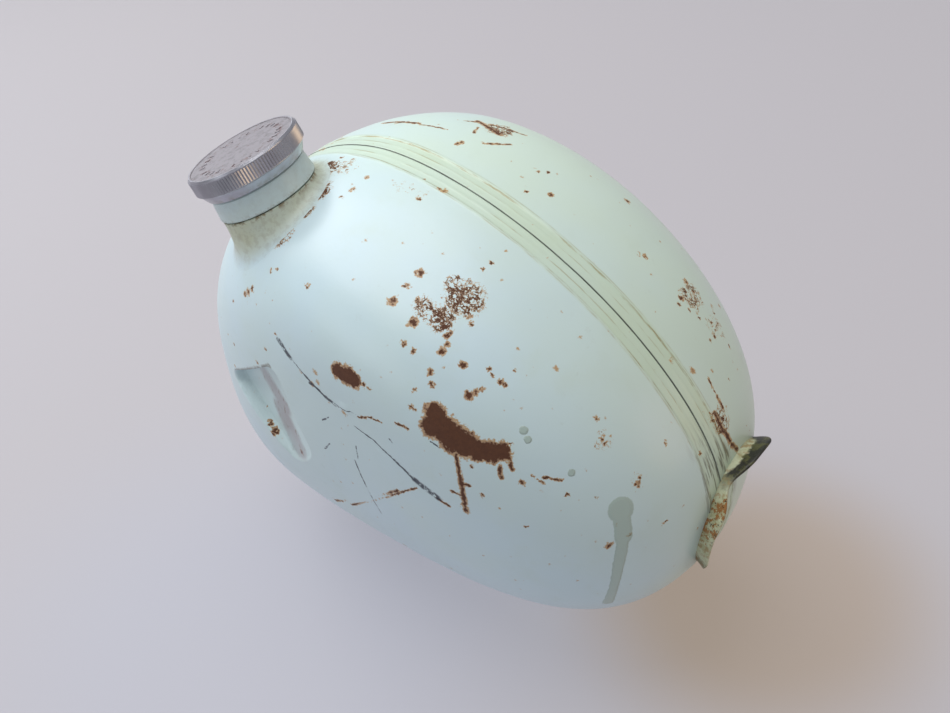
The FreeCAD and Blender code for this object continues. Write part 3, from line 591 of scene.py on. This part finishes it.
def bracket_paint():
    """Enamel outside; oily black-green inside the far ear, darkened as painted shade; the near strip's end
    darkened as painted shade; orange rust on the edges.
    """
    paint = Finish("bracket enamel")
    patch = paint.clouds(150.0, 5.0, 0.65)
    ragged = paint.clouds(420.0, 4.0, 0.7)
    height = paint.node("ShaderNodeAttribute", {"attribute_name": "lip"}, output=2)
    share = paint.node("ShaderNodeAttribute", {"attribute_name": "round"}, output=2)
    wobble = (patch - 0.5) * 0.5
    outer = paint.mix(patch.above(0.4, 0.2), (0.55, 0.58, 0.40), (0.42, 0.42, 0.24))
    # Inside of the far ear: oily dirt, made near-black as painted shade.
    oily_and_shaded = paint.mix(patch.above(0.47, 0.12), (0.012, 0.012, 0.006), (0.075, 0.075, 0.020))
    shaded_far_ear = (share + wobble * 0.3).below(0.42, 0.08) * (height + wobble * 0.6).above(0.76, 0.06)
    # Painted shade: the near strip darkens towards its end, where it turns away from the light.
    shaded_near_end = (share + wobble * 0.3).above(0.80, 0.06)
    middle = (share + wobble).above(0.50, 0.1) * (share + wobble).below(0.66, 0.1)
    colour = paint.mix(shaded_near_end * 0.8, outer, paint.mix(patch, (0.05, 0.05, 0.02), (0.20, 0.20, 0.11)))
    colour = paint.mix(shaded_far_ear, colour, oily_and_shaded)
    rust = (ragged + patch * 0.5).above(0.74, 0.10) * (0.45 + middle) * (1.0 - shaded_far_ear)
    colour = paint.mix(rust.lowest(0.9), colour, paint.mix(ragged, (0.14, 0.045, 0.012), (0.42, 0.17, 0.03)))
    specks = paint.clouds(700.0, 3.0, 0.6).above(0.60, 0.05) * middle
    colour = paint.mix(specks, colour, (0.03, 0.02, 0.01))
    return paint.set(Base_Color=colour, Roughness=0.45 + rust * 0.3,
                     Normal=paint.bump(patch + ragged, 0.3 * MM))


def rubber(name, tone):
    """Matt rubber with dust in its grain."""
    stuff = Finish(name)
    dust = stuff.clouds(180.0, 5.0, 0.7)
    grain = stuff.clouds(1600.0, 2.0)
    colour = stuff.mix(dust.above(0.45, 0.3) * 0.5, tone, (0.16, 0.15, 0.13))
    return stuff.set(Base_Color=colour, Roughness=0.70 + dust * 0.2,
                     Normal=stuff.bump(grain + dust, 0.06 * MM))


def gauze(name):
    """Woven brass wire, drawn by crossed waves."""
    cloth = Finish(name)
    wires = strongest(cloth.node("ShaderNodeTexWave", {"bands_direction": direction, "wave_profile": "SIN"},
                                 {"Vector": cloth.place, "Scale": 260.0})
                      for direction in ("X", "Y", "Z"))
    colour = cloth.mix(wires.above(0.6, 0.3), (0.10, 0.075, 0.03), (0.62, 0.47, 0.20))
    return cloth.set(Base_Color=colour, Metallic=0.9, Roughness=0.42 + wires * 0.1,
                     Normal=cloth.bump(wires, 0.15 * MM))


# ---------------------------------------------------------------- the skin's formula
def conic(t, fullness):
    """Quarter conic from (1, 0) to (0, 1)."""
    start = (1 - t) ** 2
    middle = 2 * t * (1 - t) * fullness
    end = t ** 2
    total = start + middle + end
    return (start + middle) / total, (middle + end) / total


def outline_points(share):
    """Points of the seam outline; a share of 0 to 4 runs front, top, rear, bottom, front."""
    quarter = np.clip(share.astype(int), 0, 3)
    t = share - quarter
    reach_x = np.array([-REACH_FRONT, REACH_REAR, REACH_REAR, -REACH_FRONT])[quarter]
    reach_z = np.array([REACH_TOP, REACH_TOP, -REACH_BOTTOM, -REACH_BOTTOM])[quarter]
    fullness = np.array([FULL_TOP_FRONT, FULL_TOP_REAR, FULL_BOTTOM_REAR, FULL_BOTTOM_FRONT])[quarter]
    first, second = conic(t, fullness)
    even = quarter % 2 == 0
    x = np.where(even, first, second) * reach_x
    z = np.where(even, second, first) * reach_z
    return x, z


def spaced(samples, length_at, spacing_at):
    """Values from a dense list, spaced as asked for along its length."""
    steps = np.diff(length_at) / spacing_at[:-1]
    count = np.concatenate([[0.0], np.cumsum(steps)])
    total = int(round(count[-1]))
    return np.interp(np.linspace(0, count[-1], total + 1), count, samples)


def pocket_distance(x, z):
    """Signed distance inside the pocket's rounded outline, from the widest point, in metres."""
    corners = [Vector(c) * MM for c in POCKET]
    inside = np.full(x.shape, 1.0)
    roundness = 7.0 * MM
    total = np.zeros(x.shape)
    for a, b in zip(corners, corners[1:] + corners[:1]):
        edge = (b - a).normalized()
        reach = edge.y * (x - a.x) - edge.x * (z - a.y)
        inside = np.minimum(inside, reach)
        total += np.maximum(roundness - reach, 0) ** 2
    return np.minimum(inside, roundness - np.sqrt(total))


def skin_grid(side, settings):
    """Grid of skin points from the seam to the crown, denser in the pocket and by the seam."""
    dense = np.linspace(0, 4, 6001)[:-1]
    x, z = outline_points(dense)
    length = np.concatenate([[0], np.cumsum(np.hypot(np.diff(x), np.diff(z)))])
    spacing = np.full(dense.shape, settings.grid)
    if side < 0:
        angle = np.arctan2(z - CROWN[1], x - CROWN[0]) % (2 * math.pi)
        fine = (angle > math.radians(178)) & (angle < math.radians(240))
        spacing[fine] = settings.fine_grid * 1.6
    around = spaced(dense, length, spacing)[:-1]
    profile = np.linspace(0, 1, 2001)
    across, out = conic(profile, FULL_SIDE)
    depth = np.concatenate([[0], np.cumsum(np.hypot(np.diff(across) * 120 * MM, np.diff(out) * HALF_WIDTH))])
    spacing = np.full(profile.shape, settings.grid)
    spacing[out * HALF_WIDTH < TRACK + 3 * MM] = settings.fine_grid * 0.8
    if side < 0:
        spacing[(across > 0.27) & (across < 0.72)] = settings.fine_grid
    rows = spaced(profile, depth, spacing)
    across, out = conic(rows, FULL_SIDE)
    ox, oz = outline_points(around)
    px = across[:, None] * ox[None, :] + (1 - across[:, None]) * CROWN[0] + WIDEST.x
    pz = across[:, None] * oz[None, :] + (1 - across[:, None]) * CROWN[1] + WIDEST.z
    start = SEAM_GAP if side > 0 else 0.0
    py = side * np.maximum(out * HALF_WIDTH, start * (1 - rows * 20).clip(0, 1))
    py = np.repeat(py[:, None], len(around), 1)
    return np.stack([px, py, pz], -1)


def grid_normals(points, side):
    """Outward unit normals of a skin grid."""
    around = np.roll(points, -1, 1) - np.roll(points, 1, 1)
    down = np.gradient(points, axis=0)
    normal = np.cross(around, down) * -side
    size = np.linalg.norm(normal, axis=-1, keepdims=True)
    normal = normal / np.maximum(size, 1e-12)
    normal[-1] = (0, side, 0)
    outward = np.sign((normal[..., 1] * side + normal[..., 2] * np.sign(points[..., 2] - WIDEST.z) * 0.5
                       + normal[..., 0] * np.sign(points[..., 0] - WIDEST.x) * 0.5).mean())
    return normal * outward


def smooth_step(x):
    x = np.clip(x, 0, 1)
    return x * x * (3 - 2 * x)


def shape_skin(points, side, settings):
    """Presses the weld track, the pocket, the neck's seat and slight waviness into the grid."""
    normal = grid_normals(points, side)
    flat = points.reshape(-1, 3)
    waves = np.array([noise.fractal(Vector(p) * 22.0, 1.0, 2.0, 3) for p in flat])
    waves = waves.reshape(points.shape[:2])
    across = np.abs(points[..., 1])
    sink = settings.track_sink * (1.0 if side < 0 else 0.62)
    rise = -sink * (1 - smooth_step((across - TRACK + 1.0 * MM) / (1.6 * MM)))
    ripple = np.array([noise.noise(Vector(p) * 260.0) for p in flat]).reshape(points.shape[:2])
    for edge, height, width in ((9.6, 0.22, 0.9), (4.6, 0.20, 0.7), (0.9, 0.15, 0.7)):
        ridge = np.exp(-((across - edge * MM) / (width * MM)) ** 2)
        rise += ridge * (0.75 + 0.5 * ripple) * height * MM
    rise += -0.25 * MM + waves * 0.22 * MM
    points = points + normal * np.minimum(rise, 0.10 * MM)[..., None]
    if side < 0:
        points = press_pocket(points, settings)
    return seat_neck(points)


def press_pocket(points, settings):
    """Stamps the flat-floored pocket, deepest along its upper edge."""
    x = points[..., 0] - WIDEST.x
    z = points[..., 2] - WIDEST.z
    inside = pocket_distance(x, z)
    floor_at = []
    for corner, depth in ((0, settings.pocket_depth), (1, settings.pocket_depth), (3, 0.6 * MM)):
        gap = np.hypot(x - POCKET[corner][0] * MM, z - POCKET[corner][1] * MM)
        gap = np.where(points[..., 1] < 0, gap, 1.0)
        nearest = np.unravel_index(np.argmin(gap), gap.shape)
        floor_at.append((POCKET[corner][0] * MM, POCKET[corner][1] * MM, points[nearest][1] + depth))
    matrix = np.array([[1, fx, fz] for fx, fz, fy in floor_at])
    base, slope_x, slope_z = np.linalg.solve(matrix, np.array([fy for fx, fz, fy in floor_at]))
    floor = base + slope_x * x + slope_z * z
    wall = 2.2 * MM
    share = smooth_step((inside + wall * 0.5) / wall)
    sunk = np.maximum(floor - points[..., 1], 0)
    points = points.copy()
    points[..., 1] += np.where(inside > -wall, sunk * share, 0.0)
    return points


def seat_neck(points):
    """Flattens the skin where it would stand higher than the collar's foot."""
    axis = np.array(NECK_AXIS)
    apart = points - np.array(SHOULDER)
    height = apart @ axis
    radius = np.linalg.norm(apart - height[..., None] * axis, axis=-1)
    limit = -2.0 * MM + np.maximum(radius - 29 * MM, 0) ** 2 / (22 * MM)
    excess = height - limit
    soft = 1.5 * MM
    press = np.where(excess > -soft, (np.maximum(excess + soft, 0) ** 2) / (4 * soft), 0)
    press = np.where(excess > soft, excess, press)
    near = (radius < 60 * MM) & (height > -40 * MM)
    return points - np.where(near, press, 0)[..., None] * axis


def grid_mesh(name, points, close_end=True):
    """A mesh from a grid that closes on itself round its second index."""
    rows, columns = points.shape[:2]
    body = points[:-1] if close_end else points
    count = body.shape[0]
    vertices = [tuple(p) for p in body.reshape(-1, 3)]
    faces = []
    for r in range(count - 1):
        for c in range(columns):
            d = (c + 1) % columns
            faces.append((r * columns + c, r * columns + d, (r + 1) * columns + d, (r + 1) * columns + c))
    if close_end:
        vertices.append(tuple(points[-1].mean(0)))
        tip = len(vertices) - 1
        last = (count - 1) * columns
        faces += [(last + c, last + (c + 1) % columns, tip) for c in range(columns)]
    mesh = bpy.data.meshes.new(name)
    mesh.from_pydata(vertices, [], faces)
    mesh.validate()
    return mesh


def linked(name, data):
    """A new object in the scene."""
    made = bpy.data.objects.new(name, data)
    bpy.context.scene.collection.objects.link(made)
    return made


def add_piece(name, mesh, material, node):
    """Adds a mesh as a piece that rides on the tank in its node's place."""
    piece = linked(name, mesh)
    for polygon in mesh.polygons:
        polygon.use_smooth = True
    wear(piece, material)
    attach(piece, "tank")
    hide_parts(node)
    return piece


def face_outwards(mesh, from_middle=False):
    """Makes the faces agree; from_middle turns them all to look out of the tank."""
    work = bmesh.new()
    work.from_mesh(mesh)
    bmesh.ops.recalc_face_normals(work, faces=work.faces)
    if from_middle:
        middle = Vector((WIDEST.x + 20 * MM, 0, WIDEST.z))
        votes = sum(1 if f.normal.dot(f.calc_center_median() - middle) > 0 else -1 for f in work.faces)
        if votes < 0:
            bmesh.ops.reverse_faces(work, faces=work.faces)
    work.to_mesh(mesh)
    work.free()


def cut_hole(mesh, radius):
    """Removes the near shell's skin inside the neck."""
    work = bmesh.new()
    work.from_mesh(mesh)
    inside = []
    for face in work.faces:
        apart = face.calc_center_median() - SHOULDER
        height = apart.dot(NECK_AXIS)
        if height > -50 * MM and (apart - NECK_AXIS * height).length < radius:
            inside.append(face)
    bmesh.ops.delete(work, geom=inside, context="FACES")
    work.to_mesh(mesh)
    work.free()


SKIN = {}     # the near shell's skin before its hole is cut, on which the collar's foot lies


# ---------------------------------------------------------------- operators
class TANK_OT_shells(bpy.types.Operator):
    """Builds both dished shells, with the weld tracks, the pocket and the neck's seat."""
    bl_idname = "tank.shells"
    bl_label = "Shells"

    def execute(self, context):
        settings = context.scene.tank_sizes
        colours = context.scene.tank_colours
        paint = enamel("shell enamel", colours, seam=0.85, neck=0.8, marks=True)
        for side, name, node in ((-1, "near_shell_skin", "near_shell"), (1, "far_shell_skin", "far_shell")):
            points = shape_skin(skin_grid(side, settings), side, settings)
            mesh = grid_mesh(name, points)
            if side < 0:
                face_outwards(mesh, from_middle=True)
                SKIN["near"] = BVHTree.FromPolygons([v.co.copy() for v in mesh.vertices],
                                                    [tuple(p.vertices) for p in mesh.polygons])
                cut_hole(mesh, NECK_HOLE)
            face_outwards(mesh, from_middle=True)
            piece = add_piece(name, mesh, paint, node)
            wall = piece.modifiers.new("sheet", "SOLIDIFY")
            wall.thickness = SHEET
            wall.offset = -1.0
        return {"FINISHED"}


def around_axis(count):
    """Unit vectors round the neck's axis."""
    first = NECK_AXIS.cross(Vector((0, 1, 0))).normalized()
    second = NECK_AXIS.cross(first)
    for i in range(count):
        angle = 2 * math.pi * i / count
        yield first * math.cos(angle) + second * math.sin(angle)


def skin_below(point):
    """Where the skin lies under a point, along the neck's axis."""
    start = point + NECK_AXIS * 40 * MM
    hit = SKIN["near"].ray_cast(start, -NECK_AXIS)[0]
    if hit is None:
        raise RuntimeError("the collar's foot misses the shell")
    return hit


class TANK_OT_collar(bpy.types.Operator):
    """Draws the collar up from the shell to the neck's foot in one flowing flare."""
    bl_idname = "tank.collar"
    bl_label = "Neck collar"

    def execute(self, context):
        settings = context.scene.tank_sizes
        colours = context.scene.tank_colours
        stations = 160
        steps = 16
        top_gap = 0.5 * MM
        rings = []
        for out in around_axis(stations):
            top = SHOULDER - NECK_AXIS * top_gap + out * settings.collar_waist
            foot = skin_below(SHOULDER + out * settings.collar_foot)
            under = skin_below(top)
            corner = under + (top - under) * 0.10
            line = [SHOULDER - NECK_AXIS * (top_gap + 5 * MM) + out * COLLAR_BORE,
                    SHOULDER - NECK_AXIS * top_gap + out * COLLAR_BORE,
                    SHOULDER - NECK_AXIS * top_gap + out * (settings.collar_waist - 0.5 * MM)]
            for i in range(steps + 1):
                t = i / steps
                point = top * (1 - t) ** 2 + corner * 2 * t * (1 - t) + foot * t ** 2
                wobble = noise.noise(point * 140.0) * 0.18 * MM * math.sin(math.pi * t)
                line.append(point + out * wobble)
            line.append(foot + out * 1.5 * MM - NECK_AXIS * 1.6 * MM)
            rings.append(line)
        points = np.array([[tuple(p) for p in line] for line in rings]).transpose(1, 0, 2)
        mesh = grid_mesh("neck_collar_flare", points, close_end=False)
        face_outwards(mesh)
        paint = enamel("collar enamel", colours, neck=0.75, dirt=0.08)
        add_piece("neck_collar_flare", mesh, paint, "neck_collar")
        return {"FINISHED"}


class TANK_OT_bracket(bpy.types.Operator):
    """Builds the rear saddle with its far ear and its near strip."""
    bl_idname = "tank.bracket"
    bl_label = "Rear bracket"

    def execute(self, context):
        middle = WIDEST + Vector((0, 16.0, -16.0)) * MM
        end = Vector((REACH_REAR, 0, 0))
        place = (Matrix.Translation(middle + end) @ Matrix.Rotation(math.radians(8.7), 4, "Z")
                 @ Matrix.Rotation(math.radians(8.0), 4, "Y") @ Matrix.Translation(-end))
        arc = math.radians(205.0)
        centre_angle = math.radians(126.0)
        around = 120
        along = 22
        wall = 2.6 * MM
        root = REACH_REAR - 26 * MM
        lip = REACH_REAR + 3.0 * MM
        vertices = []
        faces = []
        lip_mark = []
        round_mark = []

        def point(a, h, thick):
            angle = centre_angle + arc * (a - 0.5)
            dip = math.exp(-((a - 0.47) / 0.10) ** 2) * 6.5 * MM
            ear = 13.0 * MM * (1 - float(smooth_step(a / 0.24)))
            near = (3.5 * MM * float(smooth_step((a - 0.5) / 0.2))
                    + 4.0 * MM * float(smooth_step((a - 0.82) / 0.18)))
            top = lip - dip - ear - near + noise.noise(Vector((a * 9, 0, 0))) * 0.7 * MM
            x = root + (top - root) * h
            flare = max((x - (REACH_REAR - 10 * MM)) / (13 * MM), 0.0)
            dent = noise.noise(Vector((a * 6, h * 2, 3.0))) * 0.5 * MM
            radius = (28.5 + 7.0 * flare ** 1.6) * MM + thick + dent
            return place @ Vector((x, radius * math.cos(angle), radius * math.sin(angle)))

        loop = [(j / along, 0.0) for j in range(along + 1)]
        loop += [(1.0 + 0.02 * math.sin(math.pi * k / 4), wall * k / 4) for k in range(1, 4)]
        loop += [(1 - j / along, wall) for j in range(along + 1)]
        for i in range(around + 1):
            a = i / around
            for h, thick in loop:
                vertices.append(point(a, h, thick))
                lip_mark.append(min(h, 1.0))
                round_mark.append(a)
        width = len(loop)
        for i in range(around):
            for j in range(width):
                k = (j + 1) % width
                faces.append((i * width + j, i * width + k, (i + 1) * width + k, (i + 1) * width + j))
        faces.append(tuple(range(width)))
        faces.append(tuple(reversed(range(around * width, (around + 1) * width))))
        mesh = bpy.data.meshes.new("rear_saddle")
        mesh.from_pydata([tuple(v) for v in vertices], [], faces)
        face_outwards(mesh)
        for name, values in (("lip", lip_mark), ("round", round_mark)):
            layer = mesh.attributes.new(name, "FLOAT", "POINT")
            layer.data.foreach_set("value", values)
        add_piece("rear_saddle", mesh, bracket_paint(), "rear_bracket")
        return {"FINISHED"}


class TANK_OT_finishes(bpy.types.Operator):
    """Gives the designed parts their finishes."""
    bl_idname = "tank.finishes"
    bl_label = "Finishes"

    def execute(self, context):
        colours = context.scene.tank_colours
        steel = worn_metal("dull plated steel", (0.50, 0.50, 0.49), (0.38, 0.37, 0.35), (0.20, 0.12, 0.07))
        brass = worn_metal("outlet brass", (0.55, 0.40, 0.16), (0.42, 0.30, 0.13), (0.12, 0.10, 0.05), 0.30)
        cap = cap_metal()
        neck = enamel("neck enamel", colours, neck=0.25, dirt=0.04)
        base = enamel("base enamel", colours, dirt=0.30)
        woven = gauze("woven brass gauze")
        finishes = {
            "filler_neck": neck, "neck_thread": steel, "strainer_rim": steel, "strainer_basket": woven,
            "cap_shell": cap, "cap_thread": cap, "cap_baffle": steel, "cap_rivet": steel,
            "cap_gasket": rubber("gasket rubber", (0.03, 0.028, 0.025)),
            "base_channel": base, "base_pads": rubber("pad rubber", (0.022, 0.022, 0.022)),
            "outlet_boss": brass, "outlet_gauze": woven,
        }
        for node, material in finishes.items():
            wear(NODES[node], material)
        return {"FINISHED"}


class TANK_OT_stage(bpy.types.Operator):
    """Lays the pale, evenly glowing floor with a painted warm shadow by the bracket and a painted bluish
    shadow in front, and sets the soft lights and the camera.
    """
    bl_idname = "tank.stage"
    bl_label = "Stage"

    def execute(self, context):
        size = 3.0
        mesh = bpy.data.meshes.new("floor")
        mesh.from_pydata([(-size, -size, 0), (size, -size, 0), (size, size, 0), (-size, size, 0)], [],
                         [(0, 1, 2, 3)])
        floor = linked("floor", mesh)
        cloth = Finish("pale floor")
        tone = cloth.clouds(1.2, 2.0)
        colour = cloth.mix(tone, (0.150, 0.142, 0.160), (0.170, 0.160, 0.166))
        # Painted shadows in the floor's glow: a warm brown patch by the bracket and a bluish patch in front
        # of the tank.
        warm_shadow = cloth.distance((0.150, 0.045, 0.0)).below(45.0 * MM, 75.0 * MM)
        cool_shadow = cloth.distance((-0.04, -0.14, 0.0)).below(60.0 * MM, 180.0 * MM)
        glow_and_painted_shadows = cloth.mix(warm_shadow * 0.75, (0.335, 0.322, 0.340), (0.280, 0.205, 0.130))
        glow_and_painted_shadows = cloth.mix(cool_shadow * 0.45, glow_and_painted_shadows, (0.30, 0.335, 0.43))
        wear(floor, cloth.set(Base_Color=colour, Roughness=0.75, Emission_Color=glow_and_painted_shadows, Emission_Strength=1.0,
                              Normal=cloth.bump(cloth.clouds(400.0), 0.02 * MM)))
        self.light("key", (-0.95, 0.02, 0.80), 0.85, 7.5, (0.90, 0.96, 1.0))
        self.light("overhead", (-0.45, -0.05, 1.60), 1.7, 19.0, (1.0, 0.99, 0.97))
        self.light("fill", (-0.35, -1.20, 0.55), 0.7, 1.6, (0.92, 0.97, 1.0))
        self.light("warm", (1.1, 0.55, 0.40), 0.6, 1.6, (1.0, 0.70, 0.38))
        self.camera()
        world = bpy.data.worlds.new("studio")
        world.use_nodes = True
        world.node_tree.nodes["Background"].inputs["Color"].default_value = (0.93, 0.95, 1.0, 1.0)
        world.node_tree.nodes["Background"].inputs["Strength"].default_value = 0.36
        context.scene.world = world
        context.scene.view_settings.view_transform = "Standard"
        return {"FINISHED"}

    def light(self, name, place, size, power, colour):
        lamp = bpy.data.lights.new(name, "AREA")
        lamp.shape = "DISK"
        lamp.size = size
        lamp.energy = power
        lamp.color = colour
        holder = linked(name, lamp)
        holder.location = place
        aim = Vector((0, 0, 0.1)) - Vector(place)
        holder.rotation_euler = aim.to_track_quat("-Z", "Y").to_euler()

    def camera(self):
        lens = bpy.data.cameras.new("camera")
        lens.sensor_width = 36.0
        lens.lens = 49.26
        lens.clip_start = 0.01
        holder = linked("camera", lens)
        azimuth, elevation, roll = (math.radians(a) for a in (42.9, 40.4, -5.5))
        turn = (Matrix.Rotation(azimuth, 4, "Z") @ Matrix.Rotation(math.pi / 2 - elevation, 4, "X")
                @ Matrix.Rotation(roll, 4, "Z"))
        holder.matrix_world = Matrix.Translation(Vector((340.9, -362.8, 547.5)) * MM) @ turn
        bpy.context.scene.camera = holder


class TANK_PT_panel(bpy.types.Panel):
    """Lists the tank's pieces."""
    bl_idname = "TANK_PT_panel"
    bl_label = "Liquid tank"
    bl_space_type = "VIEW_3D"
    bl_region_type = "UI"
    bl_category = "Tank"

    def draw(self, context):
        for operator in OPERATORS:
            self.layout.operator(operator.bl_idname)
        for group in (context.scene.tank_sizes, context.scene.tank_colours):
            for key in group.__annotations__:
                self.layout.prop(group, key)


OPERATORS = (TANK_OT_shells, TANK_OT_collar, TANK_OT_bracket, TANK_OT_finishes, TANK_OT_stage)
CLASSES = (TankSettings, TankFinish, *OPERATORS, TANK_PT_panel)


def register():
    for item in CLASSES:
        bpy.utils.register_class(item)
    bpy.types.Scene.tank_sizes = bpy.props.PointerProperty(type=TankSettings)
    bpy.types.Scene.tank_colours = bpy.props.PointerProperty(type=TankFinish)


def unregister():
    del bpy.types.Scene.tank_sizes
    del bpy.types.Scene.tank_colours
    for item in reversed(CLASSES):
        bpy.utils.unregister_class(item)


def main():
    register()
    bpy.ops.tank.shells()
    bpy.ops.tank.collar()
    bpy.ops.tank.bracket()
    bpy.ops.tank.finishes()
    bpy.ops.tank.stage()


if __name__ == "__main__":
    main()
